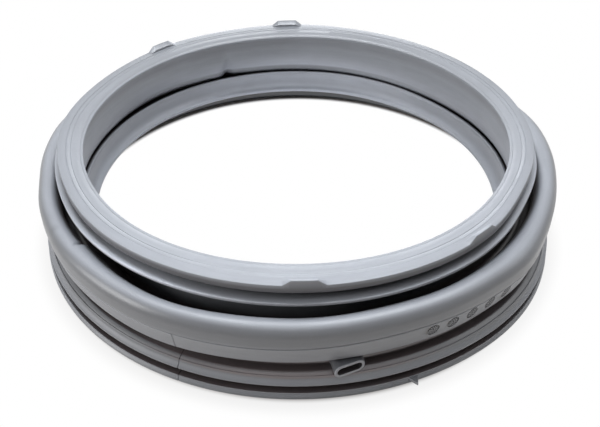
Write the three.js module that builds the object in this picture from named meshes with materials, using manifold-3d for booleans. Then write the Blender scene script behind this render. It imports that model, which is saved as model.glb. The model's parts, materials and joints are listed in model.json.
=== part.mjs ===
// Door seal of a front-loading washing machine: one ring of moulded grey rubber.
// Units are millimetres and +Z is up. The ring lies on the face that meets the tub, at z = 0,
// and its axis is Z. Azimuth 0 is +X, and -90 degrees is the front.
import * as THREE from 'three';
import { mergeVertices } from 'three/addons/utils/BufferGeometryUtils.js';
import Module from 'manifold-3d';

const wasm = await Module();
wasm.setup();

// Overall size
const outerRadius = 195; // the tub flange and the roll, 390 mm across
const faceHeight = 78; // from the tub face to the front lip's face
const wall = 2.5; // the sheet of the bellows
const ringSegments = 64;

// Tub end: flange, clamp groove and ridge
const tubEndWidth = 16.5; // from the tub bore to the outer radius
const tubMouthChamfer = 2.5; // where the bore widens to the tub face
const tubFlangeHeight = 5.2;
const tubFlangeStep = 0.6; // how far its upper half stands back
const tubFlangeStepHeight = 3;
const tubFlangeStepSlope = 0.3;
const tubFlangeChamfer = 1;
const clampGrooveWidth = 5.8;
const clampGrooveDepth = 7;
const ridgeHeight = 6.8;
const ridgeSetback = 1; // from the outer radius to the ridge's lower edge
const ridgeLean = 2.8; // how far the ridge's upper edge stands back from the lower one
const ridgeHollow = 0.35; // how far its leaning face curves in
const ridgeEdge = 1.2; // upright edge above the clamp groove
const shoulderWidth = 3.6; // where the recess's floor falls towards the ridge's face
const shoulderFall = 1.5;

// Recess between the ridge and the roll
const recessWidth = 11.4;
const recessWall = 2.5;
const recessRound = 1.8;

// Roll with the plain band below its parting line
const bandHeight = 14.5;
const bandLean = 3.6; // how far the band's lower edge stands back
const bandRound = 1.5;
const creaseStep = 0.5; // the step at the parting line
const creaseToRollCentre = 8.2;
const rollSectionRadius = 8;

// Bellows gap between the roll and the inner wall
const bellowsGapWidth = 12;
const slitHeight = 2.2; // from the floor of the hollow roll up to the bellows fold
const innerWallBow = 1.2; // how far the inner wall bows inwards
const hollowFillet = 2;

// Front lip, its face and the groove for the front panel
const lipSetback = 19.5; // from the outer radius to the lip's outer edge
const lipWidth = 19;
const lipThickness = 6;
const lipBandWidth = 6.6; // the raised band along the outer edge
const lipRampWidth = 3.1; // the slope up to it
const lipBandStep = 0.8;
const lipFall = 1.2; // how far the face falls from the slope's foot to its inner edge
const lipEdgeRound = 0.8;
const lipUndercut = 2.4; // from the lip's inner edge back to where its underside starts
const panelGrooveWidth = 5;
const panelGrooveDepth = 12;
const panelGrooveRound = 1.6;
const panelFlangeReach = 3.5; // from the lip's outer edge out to the flange's edge
const panelFlangeThickness = 2.2;
const neckFlare = 1; // how far the inner wall widens below the panel groove
const neckFillet = 2;

// Skirt that shields the drum's edge
const skirtTopInset = 16; // from the tub bore in to the skirt's upper edge
const skirtEdgeInset = 23; // from the tub bore in to its lower edge
const skirtTopRise = 6; // above the floor of the hollow roll
const skirtEdgeDrop = 10.8; // below the floor of the hollow roll
const skirtThickness = 2.4;
const skirtFillet = 1.2;
const skirtBeadRadius = 1.4;
const skirtFlareWidth = 4.2; // the nearly flat part above the bead
const skirtFlareRise = 1.8;
const webFillet = 1.6;

// Blocks on the lip's face that sit in notches of the front panel
const blockAzimuths = [-88.2, -47.6, 93, 132.6];
const blockHeight = 4; // at its outer edge
const blockInnerHeight = 1.5;
const blockWidth = 3.8;
const blockTopLength = 16;
const blockBaseLength = 26.5;
const blockSetback = 0.3; // from the lip's outer edge
const blockRooting = 2; // how deep the block reaches into the lip

// Flattened drain spout in the recess
const spoutAzimuth = -80.4;
const spoutRootWidth = 22;
const spoutMouthWidth = 20;
const spoutClearance = 1; // above and below the spout, to the recess's sides
const spoutWall = 1.7;
const spoutReach = 12.2; // from the recess's root to the middle of the mouth
const spoutMouthSlant = 15.5; // degrees, the left side reaches further out

// Pointer on the tub flange that shows the fitting position
const pointerAzimuth = -67.5;
const pointerWidth = 6.5;
const pointerReach = 5.6;
const pointerThickness = 2;
const pointerHeight = 2.4;
const pointerRooting = 1.5; // how deep it reaches into the flange

// Round pockets with date dials on the band
const dialCount = 5;
const dialFirstAzimuth = -63.8;
const dialPitch = 4.6; // degrees from one dial to the next
const dialDiameter = 8.5;
const dialDrop = 5; // from the parting line down to a dial's centre
const dialDepth = 0.6;
const dialSides = 14;

const degrees = Math.PI / 180;

// Radii that follow from the sizes above
const tubBoreRadius = outerRadius - tubEndWidth;
const clampGrooveRadius = outerRadius - clampGrooveDepth;
const ridgeRadius = outerRadius - ridgeSetback;
const ridgeTopRadius = ridgeRadius - ridgeLean;
const recessRootRadius = tubBoreRadius + recessWall;
const rollCentreRadius = outerRadius - rollSectionRadius;
const rollInnerSide = rollCentreRadius - rollSectionRadius;
const foldRadius = bellowsGapWidth / 2;
const foldCentreRadius = rollInnerSide - foldRadius;
const lipOuterRadius = outerRadius - lipSetback;
const lipInnerRadius = lipOuterRadius - lipWidth;
const lipBandRadius = lipOuterRadius - lipBandWidth;
const panelGrooveRootRadius = lipOuterRadius - panelGrooveDepth;
const panelFlangeRadius = lipOuterRadius + panelFlangeReach;
const neckRadius = panelGrooveRootRadius - wall;
const skirtTopRadius = tubBoreRadius - skirtTopInset;
const skirtEdgeRadius = tubBoreRadius - skirtEdgeInset;

// Heights that follow from the sizes above
const ridgeBottom = tubFlangeHeight + clampGrooveWidth;
const ridgeTop = ridgeBottom + ridgeHeight;
const recessTop = ridgeTop + recessWidth;
const recessMiddle = (ridgeTop + recessTop) / 2;
const hollowFloor = recessTop + wall;
const creaseHeight = recessTop + bandHeight;
const rollCentreHeight = creaseHeight + creaseToRollCentre;
const foldCentreHeight = hollowFloor + slitHeight + wall + foldRadius;
const lipBottom = faceHeight - lipThickness;
const lipInnerHeight = faceHeight - lipBandStep - lipFall;
const panelFlangeTop = lipBottom - panelGrooveWidth;
const panelFlangeBottom = panelFlangeTop - panelFlangeThickness;
const neckFoot = panelFlangeBottom - neckFillet;
const skirtTop = hollowFloor + skirtTopRise;
const skirtEdgeHeight = hollowFloor - skirtEdgeDrop;

// Section of the ring

const point = (radius, height) => new THREE.Vector2(radius, height);

// Points on an arc, with its angles in degrees counted from +radius towards +height
function arc(centreRadius, centreHeight, radius, start, end, steps) {
  const points = [];
  for (let i = 0; i <= steps; i += 1) {
    const angle = (start + ((end - start) * i) / steps) * degrees;
    points.push(point(centreRadius + radius * Math.cos(angle), centreHeight + radius * Math.sin(angle)));
  }
  return points;
}

function lipSection() {
  const round = lipEdgeRound;
  return [
    ...arc(lipInnerRadius + round, lipInnerHeight - round, round, 180, 90, 1),
    point(lipBandRadius - lipRampWidth, faceHeight - lipBandStep),
    point(lipBandRadius, faceHeight),
    point(lipOuterRadius - round / 2, faceHeight),
    point(lipOuterRadius, faceHeight - round / 2),
    point(lipOuterRadius, lipBottom + round / 2),
    point(lipOuterRadius - round / 2, lipBottom),
  ];
}

function panelGrooveSection() {
  const round = panelGrooveRound;
  return [
    point(panelGrooveRootRadius + round, lipBottom),
    point(panelGrooveRootRadius, lipBottom - round),
    point(panelGrooveRootRadius, panelFlangeTop + round),
    point(panelGrooveRootRadius + round, panelFlangeTop),
    point(panelFlangeRadius, panelFlangeTop),
    point(panelFlangeRadius, panelFlangeBottom),
  ];
}

// Where the inner wall bows in, halfway between its neck and the bellows fold
function innerWallMiddle(neckSide, foldSide) {
  return point((neckSide + foldSide) / 2 - innerWallBow, (neckFoot + foldCentreHeight) / 2);
}

// The inner wall's outer side, from the panel flange down to the bellows fold
function bellowsGapSection() {
  const neckSide = panelGrooveRootRadius + neckFlare;
  return [
    point(neckSide + neckFlare, panelFlangeBottom),
    point(neckSide, neckFoot),
    innerWallMiddle(neckSide, foldCentreRadius - foldRadius),
    ...arc(foldCentreRadius, foldCentreHeight, foldRadius, 180, 360, 4),
  ];
}

// Radius of the band's outer side at a height
function bandRadius(height) {
  const fall = (creaseHeight - height) / (bandHeight - bandRound);
  return outerRadius - creaseStep - (bandLean - creaseStep) * fall;
}

function rollSection() {
  const bandEdge = recessTop + bandRound;
  return [
    ...arc(rollCentreRadius, rollCentreHeight, rollSectionRadius, 180, 0, 8),
    point(outerRadius, creaseHeight + creaseStep),
    point(bandRadius(creaseHeight), creaseHeight),
    point(bandRadius(bandEdge), bandEdge),
    point(bandRadius(bandEdge) - bandRound, recessTop),
  ];
}

function recessSection() {
  const round = recessRound;
  return [
    point(recessRootRadius + round, recessTop),
    point(recessRootRadius, recessTop - round),
    point(recessRootRadius, ridgeTop + round),
    point(recessRootRadius + round, ridgeTop),
    point(ridgeTopRadius - shoulderWidth, ridgeTop),
    point(ridgeTopRadius, ridgeTop - shoulderFall),
    point((ridgeTopRadius + ridgeRadius) / 2 - ridgeHollow, (ridgeTop + ridgeBottom) / 2),
    point(ridgeRadius, ridgeBottom + ridgeEdge),
    point(ridgeRadius, ridgeBottom),
  ];
}

function tubEndSection() {
  const upperFace = outerRadius - tubFlangeStep;
  return [
    point(clampGrooveRadius, ridgeBottom),
    point(clampGrooveRadius, tubFlangeHeight),
    point(upperFace - tubFlangeChamfer, tubFlangeHeight),
    point(upperFace, tubFlangeHeight - tubFlangeChamfer),
    point(upperFace, tubFlangeStepHeight + tubFlangeStepSlope),
    point(outerRadius, tubFlangeStepHeight - tubFlangeStepSlope),
    point(outerRadius, 0),
    point(tubBoreRadius + tubMouthChamfer, 0),
    point(tubBoreRadius, tubMouthChamfer),
  ];
}

// From the tub bore along the web's underside, round the skirt and back to the hollow's floor
function skirtSection() {
  const topRound = skirtThickness / 2;
  const skirtFoot = skirtTopRadius + skirtThickness + skirtFillet;
  const bead = point(skirtEdgeRadius + skirtBeadRadius, skirtEdgeHeight);
  const flare = point(skirtEdgeRadius + skirtFlareWidth, skirtEdgeHeight + skirtBeadRadius + skirtFlareRise);
  return [
    point(tubBoreRadius, recessTop - webFillet),
    point(tubBoreRadius - webFillet, recessTop),
    point(skirtFoot, recessTop),
    point(skirtTopRadius + topRound, recessTop - skirtThickness),
    point(flare.x + topRound, flare.y - skirtThickness - topRound),
    ...arc(bead.x, bead.y, skirtBeadRadius, 270, 150, 2),
    flare,
    point(skirtTopRadius - topRound, hollowFloor),
    point(skirtTopRadius, skirtTop - topRound),
    ...arc(skirtTopRadius + topRound, skirtTop - topRound, topRound, 120, 0, 2),
    point(skirtTopRadius + skirtThickness, hollowFloor + skirtFillet),
    point(skirtFoot, hollowFloor),
  ];
}

// Inside of the hollow roll
function hollowSection() {
  const bandInside = bandRadius(recessTop + bandRound) - wall;
  return [
    point(bandInside - hollowFillet, hollowFloor),
    point(bandInside, hollowFloor + hollowFillet),
    point(outerRadius - wall, creaseHeight + creaseStep),
    ...arc(rollCentreRadius, rollCentreHeight, rollSectionRadius - wall, 0, 180, 6),
    ...arc(foldCentreRadius, foldCentreHeight, foldRadius + wall, 360, 225, 3),
  ];
}

// Inner wall, up to the underside of the front lip
function innerWallSection() {
  const foldSide = foldCentreRadius - foldRadius - wall;
  return [
    point(foldSide, foldCentreHeight),
    innerWallMiddle(neckRadius + neckFlare, foldSide),
    point(neckRadius + neckFlare, neckFoot),
    point(neckRadius, panelFlangeTop),
    point(neckRadius, lipBottom - panelGrooveRound),
    point(lipInnerRadius + lipUndercut, lipBottom + lipEdgeRound),
  ];
}

function ringGeometry() {
  const outline = [
    ...lipSection(),
    ...panelGrooveSection(),
    ...bellowsGapSection(),
    ...rollSection(),
    ...recessSection(),
    ...tubEndSection(),
    ...skirtSection(),
    ...hollowSection(),
    ...innerWallSection(),
  ];
  // A lathe faces outwards where its outline runs the other way round
  outline.reverse();
  outline.push(outline[0].clone());
  const geometry = new THREE.LatheGeometry(outline, ringSegments);
  geometry.rotateX(Math.PI / 2);
  return geometry;
}

// Local features are drawn at azimuth 0, with x outwards and y along the ring

// Extrudes a shape drawn in the ring's tangent and height, outwards from one radius to another
function radialExtrusion(shape, innerRadius, reach) {
  const geometry = new THREE.ExtrudeGeometry(shape, { depth: reach, bevelEnabled: false, curveSegments: 6 });
  const tangent = new THREE.Vector3(0, 1, 0);
  const height = new THREE.Vector3(0, 0, 1);
  const outwards = new THREE.Vector3(1, 0, 0);
  geometry.applyMatrix4(new THREE.Matrix4().makeBasis(tangent, height, outwards));
  geometry.translate(innerRadius, 0, 0);
  return geometry;
}

function blockGeometry(azimuth) {
  const shape = new THREE.Shape();
  shape.moveTo(-blockBaseLength / 2, -blockRooting);
  shape.lineTo(blockBaseLength / 2, -blockRooting);
  shape.lineTo(blockBaseLength / 2, 0);
  shape.lineTo(blockTopLength / 2, blockHeight);
  shape.lineTo(-blockTopLength / 2, blockHeight);
  shape.lineTo(-blockBaseLength / 2, 0);
  shape.closePath();
  const innerSide = lipOuterRadius - blockSetback - blockWidth;
  const geometry = radialExtrusion(shape, innerSide, blockWidth);
  const positions = geometry.attributes.position;
  for (let i = 0; i < positions.count; i += 1) {
    if (positions.getX(i) < innerSide + blockWidth / 2 && positions.getZ(i) > 0) {
      positions.setZ(i, blockInnerHeight);
    }
  }
  bendAlongRing(geometry);
  geometry.translate(0, 0, faceHeight);
  geometry.rotateZ(azimuth * degrees);
  return geometry;
}

// Lays points that are off to the side back on their own radius
function bendAlongRing(geometry) {
  const positions = geometry.attributes.position;
  for (let i = 0; i < positions.count; i += 1) {
    const radius = positions.getX(i);
    const angle = positions.getY(i) / radius;
    positions.setXY(i, radius * Math.cos(angle), radius * Math.sin(angle));
  }
}

function stadium(width, height) {
  const radius = height / 2;
  const reach = width / 2 - radius;
  const shape = new THREE.Shape();
  shape.absarc(reach, 0, radius, -Math.PI / 2, Math.PI / 2);
  shape.absarc(-reach, 0, radius, Math.PI / 2, Math.PI * 1.5);
  shape.closePath();
  return shape;
}

// A flattened tube that narrows from the recess's root towards its mouth
function spoutTubeGeometry(inset, innerRadius, outerReach) {
  const height = recessWidth - (spoutClearance + inset) * 2;
  const shape = stadium(spoutMouthWidth - inset * 2, height);
  const geometry = radialExtrusion(shape, innerRadius, outerReach - innerRadius);
  const positions = geometry.attributes.position;
  for (let i = 0; i < positions.count; i += 1) {
    const run = (recessRootRadius + spoutReach - positions.getX(i)) / spoutReach;
    const width = THREE.MathUtils.lerp(spoutMouthWidth, spoutRootWidth, run);
    positions.setY(i, (positions.getY(i) * width) / spoutMouthWidth);
  }
  geometry.translate(0, 0, recessMiddle);
  return geometry;
}

// Block that trims the spout at its slanted mouth
function mouthTrimGeometry() {
  const depth = spoutReach * 2;
  const geometry = new THREE.BoxGeometry(depth, spoutRootWidth * 3, recessWidth * 2);
  geometry.translate(depth / 2, 0, 0);
  geometry.rotateZ(spoutMouthSlant * degrees);
  geometry.translate(recessRootRadius + spoutReach, 0, recessMiddle);
  return geometry;
}

function pointerGeometry() {
  const base = outerRadius - tubFlangeStep - pointerRooting;
  const shape = new THREE.Shape();
  shape.moveTo(base, -pointerWidth / 2);
  shape.lineTo(outerRadius, -pointerWidth / 2);
  shape.lineTo(outerRadius + pointerReach, 0);
  shape.lineTo(outerRadius, pointerWidth / 2);
  shape.lineTo(base, pointerWidth / 2);
  shape.closePath();
  const geometry = new THREE.ExtrudeGeometry(shape, { depth: pointerThickness, bevelEnabled: false });
  geometry.translate(0, 0, pointerHeight);
  geometry.rotateZ(pointerAzimuth * degrees);
  return geometry;
}

// Short cylinder that cuts a dial's pocket square to the leaning band
function dialPocketGeometry(azimuth) {
  const height = creaseHeight - dialDrop;
  const lean = Math.atan2(bandLean - creaseStep, bandHeight - bandRound);
  const reach = wall;
  const geometry = new THREE.CylinderGeometry(dialDiameter / 2, dialDiameter / 2, reach, dialSides);
  geometry.rotateZ(-Math.PI / 2);
  geometry.translate(reach / 2 - dialDepth, 0, 0);
  geometry.rotateY(lean);
  geometry.translate(bandRadius(height), 0, height);
  geometry.rotateZ(azimuth * degrees);
  return geometry;
}

// Joins and cuts

function toSolid(geometry) {
  const bare = geometry.clone();
  bare.deleteAttribute('normal');
  bare.deleteAttribute('uv');
  const merged = mergeVertices(bare);
  return new wasm.Manifold(new wasm.Mesh({
    numProp: 3,
    vertProperties: merged.attributes.position.array,
    triVerts: new Uint32Array(merged.index.array),
  }));
}

function toGeometry(solid) {
  const mesh = solid.getMesh();
  const geometry = new THREE.BufferGeometry();
  geometry.setAttribute('position', new THREE.BufferAttribute(mesh.vertProperties, 3));
  geometry.setIndex(new THREE.BufferAttribute(mesh.triVerts, 1));
  const flat = geometry.toNonIndexed();
  flat.computeVertexNormals();
  return flat;
}

function sealSolid() {
  const spoutRoot = recessRootRadius - recessWall / 2;
  const spoutEnd = recessRootRadius + spoutReach + spoutMouthWidth / 2;
  const spoutTurn = spoutAzimuth * degrees;
  const tube = toSolid(spoutTubeGeometry(0, spoutRoot, spoutEnd).rotateZ(spoutTurn));
  const trim = toSolid(mouthTrimGeometry().rotateZ(spoutTurn));
  const bore = toSolid(spoutTubeGeometry(spoutWall, tubBoreRadius - recessWall, spoutEnd).rotateZ(spoutTurn));
  let solid = toSolid(ringGeometry());
  for (const azimuth of blockAzimuths) {
    solid = solid.add(toSolid(blockGeometry(azimuth)));
  }
  for (let i = 0; i < dialCount; i += 1) {
    solid = solid.subtract(toSolid(dialPocketGeometry(dialFirstAzimuth + i * dialPitch)));
  }
  solid = solid.add(toSolid(pointerGeometry()));
  solid = solid.add(tube.subtract(trim));
  return solid.subtract(bore);
}

const rubber = new THREE.MeshStandardMaterial({ color: 0x8b8e94, roughness: 0.55, metalness: 0 });
const seal = new THREE.Mesh(toGeometry(sealSolid()), rubber);
seal.name = 'door_seal';

const group = new THREE.Group();
group.add(seal);

export default group;
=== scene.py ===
import json
import math

import bpy
import numpy as np
from mathutils import Matrix, Vector

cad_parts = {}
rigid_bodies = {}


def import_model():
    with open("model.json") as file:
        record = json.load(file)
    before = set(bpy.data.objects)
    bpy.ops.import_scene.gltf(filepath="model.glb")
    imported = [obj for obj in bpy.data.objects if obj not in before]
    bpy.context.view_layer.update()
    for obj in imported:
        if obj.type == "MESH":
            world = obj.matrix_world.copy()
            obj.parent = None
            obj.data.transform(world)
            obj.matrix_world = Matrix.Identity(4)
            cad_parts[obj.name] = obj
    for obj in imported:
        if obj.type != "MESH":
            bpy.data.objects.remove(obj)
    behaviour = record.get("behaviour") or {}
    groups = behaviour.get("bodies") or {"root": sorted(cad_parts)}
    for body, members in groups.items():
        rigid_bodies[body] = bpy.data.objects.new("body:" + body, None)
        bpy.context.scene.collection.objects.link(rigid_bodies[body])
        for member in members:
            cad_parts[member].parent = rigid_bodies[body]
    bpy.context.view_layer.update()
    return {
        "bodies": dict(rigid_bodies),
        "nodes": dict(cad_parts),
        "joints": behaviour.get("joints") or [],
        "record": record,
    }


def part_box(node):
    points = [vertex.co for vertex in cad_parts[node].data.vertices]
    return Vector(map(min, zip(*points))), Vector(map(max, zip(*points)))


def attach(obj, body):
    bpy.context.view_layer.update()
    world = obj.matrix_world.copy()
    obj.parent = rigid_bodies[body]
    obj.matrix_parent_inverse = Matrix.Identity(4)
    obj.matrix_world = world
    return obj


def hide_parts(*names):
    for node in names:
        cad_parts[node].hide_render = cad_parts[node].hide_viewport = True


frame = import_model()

# The looks of a washing machine's door seal: one ring of moulded grey rubber.
# Radii and heights are in millimetres until a mesh is made, and azimuths are in degrees,
# with -90 at the front, where the drain spout is.
MM = 0.001
seal_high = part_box("door_seal")[1]

# Main sizes, the same as the solid's
OUTER = seal_high.x / MM
BLOCK_HEIGHT = 4.0
FACE = seal_high.z / MM - BLOCK_HEIGHT
WALL = 2.5
TUB_BORE = OUTER - 16.5
BORE_CHAMFER = 2.5

FLANGE_TOP = 5.2
CLAMP_ROOT = OUTER - 7.0
RIDGE_BOTTOM = 11.0
RIDGE_TOP = 17.8
RIDGE_RADIUS = OUTER - 1.0
SHOULDER_RADIUS = OUTER - 3.8
SHOULDER_HEIGHT = RIDGE_TOP - 1.5

RECESS_ROOT = TUB_BORE + 2.5
RECESS_TOP = 29.2
HOLLOW_FLOOR = RECESS_TOP + WALL
CREASE = 43.7
BAND_LEAN = 3.6

ROLL_SECTION = 8.0
ROLL_CENTRE = (OUTER - ROLL_SECTION, 51.9)
FOLD_RADIUS = 6.0
FOLD_CENTRE = (ROLL_CENTRE[0] - ROLL_SECTION - FOLD_RADIUS, 42.4)

LIP_OUTER = OUTER - 19.5
LIP_INNER = LIP_OUTER - 19.0
LIP_INNER_LINE = LIP_INNER + 2.4
LIP_SLOPE_FOOT = LIP_OUTER - 9.7
LIP_BAND_RADIUS = LIP_OUTER - 6.6
LIP_BOTTOM = FACE - 6.0
GROOVE_ROOT = LIP_OUTER - 12.0
FLANGE_RADIUS = LIP_OUTER + 3.5
PANEL_FLANGE_TOP = LIP_BOTTOM - 5.0
PANEL_FLANGE_BOTTOM = PANEL_FLANGE_TOP - 2.2
NECK = (GROOVE_ROOT - WALL, PANEL_FLANGE_TOP)
WALL_BOW = (NECK[0] + 0.2, 51.0)

SKIRT_TOP_RADIUS = TUB_BORE - 16.0
SKIRT_TOP = HOLLOW_FLOOR + 5.4
SKIRT_EDGE_RADIUS = TUB_BORE - 23.0
SKIRT_EDGE = HOLLOW_FLOOR - 10.8

# Fine grooves: their width, and on the tub flange their place from the outside, height and depth
FINE_GROOVE = 0.5
TUB_GROOVES = ((0.5, 4.1, 0.3), (0.2, 3.1, 0.35), (0.0, 2.2, 0.3), (0.0, 1.15, 0.3))

# Blocks on the lip
BLOCK_AZIMUTHS = (-88.2, -47.6, 93.0, 132.6)
BLOCK_BASE = 26.5
BLOCK_TOP = 16.0
BLOCK_INNER = LIP_OUTER - 4.0
BLOCK_INNER_HEIGHT = 1.5
BLOCK_STEP_HALF = 0.1

# Mould seams across the outside
SEAM_AZIMUTHS = (-112.4, 7.6, 127.6)
SEAM_WIDTH = 0.9
SEAM_DEPTH = 0.5

# How far, and how wide, a point of the section looks for other rubber
OPEN_REACH = 45.0
OPEN_HALF_ANGLE = 78.0
OPEN_RAYS = 21
OPEN_LIFT = 0.05

# Fold in the roll where the ring was pressed together: a groove, and a bulge that fades past it
DENT_AZIMUTH = 219.0
DENT_BULGE = 2.2
DENT_BULGE_START = (-0.5, 0.7)
DENT_BULGE_RUN = 5.0
DENT_GROOVE = 1.1
DENT_GROOVE_PLACE = -0.2
DENT_GROOVE_HALF = 0.55

# Wrinkle down the inner wall, which lifts the bottom of the fold, and a low ridge beside it:
# degrees past the wrinkle, half width in degrees and share of the wrinkle's depth
WRINKLE_AZIMUTH = 113.0
WRINKLE_DEPTH = 1.8
WRINKLE_HALF = 1.5
WRINKLE_RIDGE = (3.0, 2.2, 0.45)
WRINKLE_LIFT = 2.2
WRINKLE_LIFT_HALF = 1.3

# Drain spout in the recess
SPOUT_AZIMUTH = -80.1
SPOUT_HEIGHT = 23.4
SPOUT_ROOT_WIDTH = 22.0
SPOUT_MOUTH_WIDTH = 20.0
SPOUT_THICKNESS = 9.4
SPOUT_WALL = 1.9
SPOUT_MOUTH = 193.6
SPOUT_SLANT = math.radians(14.0)
SPOUT_SIDES = 16
SPOUT_COLLAR = 0.5
SPOUT_RIM = 0.4

# Pointer on the tub flange
POINTER_AZIMUTH = -67.5
POINTER_WIDTH = 6.5
POINTER_REACH = 5.6
POINTER_BOTTOM = 2.4
POINTER_TOP = 4.4
POINTER_EDGE = 0.3

# Date dials on the band, whose top is set back a little below the crease
BAND_SET_BACK = 0.6
DIAL_AZIMUTHS = (-63.8, -59.4, -54.8, -50.1, -45.5)
DIAL_HEIGHT = 38.4
DIAL_RADIUS = 4.3
DIAL_STRETCH = 1.18
DIAL_INNER_RADIUS = 2.1
DIAL_LINE = 0.75
DIAL_DOTS = 12
DIAL_DOT = 0.5
DIAL_DOT_PLACE = 2.95
DIAL_SIDES = 32
DIAL_DOT_SIDES = 10
ARROW_HALF_STEM = 0.3
ARROW_HALF_HEAD = 0.9
ARROW_BOTTOM = -1.3
ARROW_NECK = 0.1
ARROW_TIP = 1.4
MARK_DEPTH = 0.6
MARK_CLEARANCE = 1.5

# Painted warm bounce light in the shaded folds and the rubber's cooler colour on open faces, and the tones
# where each is reached
FOLD_WARM_BOUNCE_COLOUR = (0.370, 0.312, 0.318)
RUBBER_COLOUR = (0.306, 0.318, 0.347)
FOLD_TONES = (0.2, 0.4)

# Painted shade: tone, which is the share of the colour that shows, by how open a point is, dark down in
# the folds and full on open faces
FOLD_SHADE_LEVELS = ((0.0, 0.03), (0.15, 0.17), (0.35, 0.4), (0.5, 0.5), (0.65, 0.85), (0.8, 1.0), (1.0, 1.0))

# Stretches of the section with a tone of their own: radius, height, half widths and tone
# The lip's outer side, the neck, the crease and the tub end's inside are painted shade, the roll's top and
# the panel flange painted light, and the panel flange's edge, the skirt's edge and the ledge below the
# crease painted highlights
TONE_SPOTS = (
    (LIP_OUTER - 10.5, FACE, 13.0, 2.0, 1.03),  # lip's face
    (LIP_OUTER + 0.5, FACE - 4.0, 1.6, 3.2, 0.3),  # lip's outer side
    (ROLL_CENTRE[0] + 1.0, ROLL_CENTRE[1] + 0.1, 9.0, 8.5, 0.42),  # roll
    (ROLL_CENTRE[0] - 1.5, ROLL_CENTRE[1] + 8.1, 6.5, 2.0, 1.15),  # roll's top
    (FLANGE_RADIUS - 4.5, PANEL_FLANGE_TOP - 0.5, 5.5, 2.0, 1.15),  # panel flange
    (FLANGE_RADIUS - 1.0, PANEL_FLANGE_TOP, 2.5, 1.0, 1.6),  # panel flange's edge
    (GROOVE_ROOT - 3.5, PANEL_FLANGE_TOP - 14.0, 6.0, 11.0, 1.0),  # inner wall
    (GROOVE_ROOT - 1.5, PANEL_FLANGE_TOP + 2.0, 5.0, 5.5, 0.75),  # neck
    (SKIRT_EDGE_RADIUS - 1.5, SKIRT_EDGE + 11.1, 8.0, 7.0, 0.8),  # skirt
    (SKIRT_EDGE_RADIUS + 1.5, SKIRT_EDGE + 1.6, 5.5, 4.0, 1.1),  # skirt's edge
    (OUTER - 2.0, DIAL_HEIGHT - 0.4, 5.0, 5.0, 0.9),  # band
    (SHOULDER_RADIUS - 0.2, SHOULDER_HEIGHT + 0.2, 2.5, 2.0, 0.65),  # shoulder
    (OUTER - 1.1, CREASE + 0.5, 0.3, 0.25, 0.1),  # crease
    (OUTER - 0.5, CREASE - 0.4, 0.5, 0.4, 1.4),  # ledge below the crease
    (TUB_BORE, BORE_CHAMFER + 11.5, 1.7, 13.0, 0.32),  # tub end's inside
)

# Painted light: the lip is lighter at its front and darker at its back, and the inside rises to lighter at
# the back
LIP_PAINTED_LIGHT_LEAN = 0.24
BACK_PAINTED_LIGHT_RISE = 1.1

# Painted light on the panel flange: azimuth, half width in degrees and added share
FLANGE_PAINTED_LIGHT = ((236, 18, 1.1),)

# How far the painted warm bounce light of the folds reaches over the low outside at the front
WARM_BOUNCE_REACH = 0.45

# Roughness at these two tones: where the painted shade is dark the rubber has a sheen, and where it is
# pale the rubber is matt
MATT_TONES = (0.5, 1.1)
ROUGHNESSES = (0.31, 0.47)

# Tones of the details, with the spout's for its outside, mouth and inside: the mouth's is a painted
# highlight, and the spout's inside, the bore, the marks and the dials' fields are painted shade
SPOUT_TONES = (0.45, 1.3, 0.2)
BORE_TONE = 0.4
POINTER_TONE = 0.9
MARK_TONE = 0.1
DIAL_TONE = 0.58

# Points that take a dial's tones: within a margin round it and a reach before and behind it.
# Below the skin, a point is inside a mark.
DIAL_MARGIN = 0.6
DIAL_REACH = 1.4
DIAL_SKIN = 0.25

# Unevenness of tone, roughness and height: noise scale, detail, and lowest and highest share
CLOUDS = (26.0, 4.0, 0.955, 1.045)
STREAKS = (420.0, 3.0, 0.965, 1.035)
GRAIN = (1500.0, 2.0, 0.97, 1.03)
WEAR = (160.0, 3.0, 0.88, 1.12)
PORES = (1100.0, 3.0, 0.0, 1.0)
PORE_STRENGTH = 0.07
PORE_DEPTH = 0.4

# Share of the length along the ring that the streaks' noise sees, so that they come out long
STREAK_SHARE = 0.12

# Finger marks: azimuth, radius, height, size and strength
SMUDGES = (
    (-148.5, 190.0, 58.5, 6.0, 0.16),
    (-146.0, 195.0, 51.0, 7.0, 0.2),
    (-126.0, 195.0, 52.0, 8.0, 0.08),
    (-66.5, 195.0, 50.0, 7.0, 0.08),
    (-42.0, 195.0, 50.0, 9.0, 0.08),
)

# Floor: its colours, and where it turns white: radii from and to, and the share added there
FLOOR_COLOUR = (0.67, 0.61, 0.56)
FLOOR_COLOUR_INSIDE = (0.92, 0.92, 0.94)
FLOOR_FADES = ((181.0, 175.5, 1.0), (190.0, 196.0, 0.85), (194.0, 210.0, 0.15))
SHADE_CENTRE = (1.5, -2.5, 0.0)
FLOOR_HALF = 6.0  # in metres

# Softboxes: name, elevation and azimuth in degrees, distance and size in metres, watts and colour
COOL = (0.96, 1.0, 1.05)
PLAIN = (1.0, 1.0, 1.0)
LAMPS = (
    ("key", 76, 90, 1.6, (1.5, 0.38), 22.0, COOL),
    ("top", 82, 270, 1.0, (0.9, 0.9), 1.2, COOL),
    ("back", 14, 90, 1.6, (0.8, 0.8), 6.5, COOL),
    ("left", 16, 200, 1.6, (0.8, 0.8), 8.5, PLAIN),
    ("front", 62, 270, 1.6, (0.8, 0.8), 0.9, PLAIN),
    ("right", 40, 0, 1.6, (0.8, 0.8), 1.9, PLAIN),
)

# Camera, in metres and degrees, with its lens and sensor in millimetres
CAMERA_PLACE = (0.00294, -0.5151, 0.3976)
CAMERA_TILT = 51.93
LENS = 48.0
SENSOR = 36.0

# Even stations along the ring, and the share of their step that one keeps from a closer one
STATIONS = 200
STATION_GAP = 0.3

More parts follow.
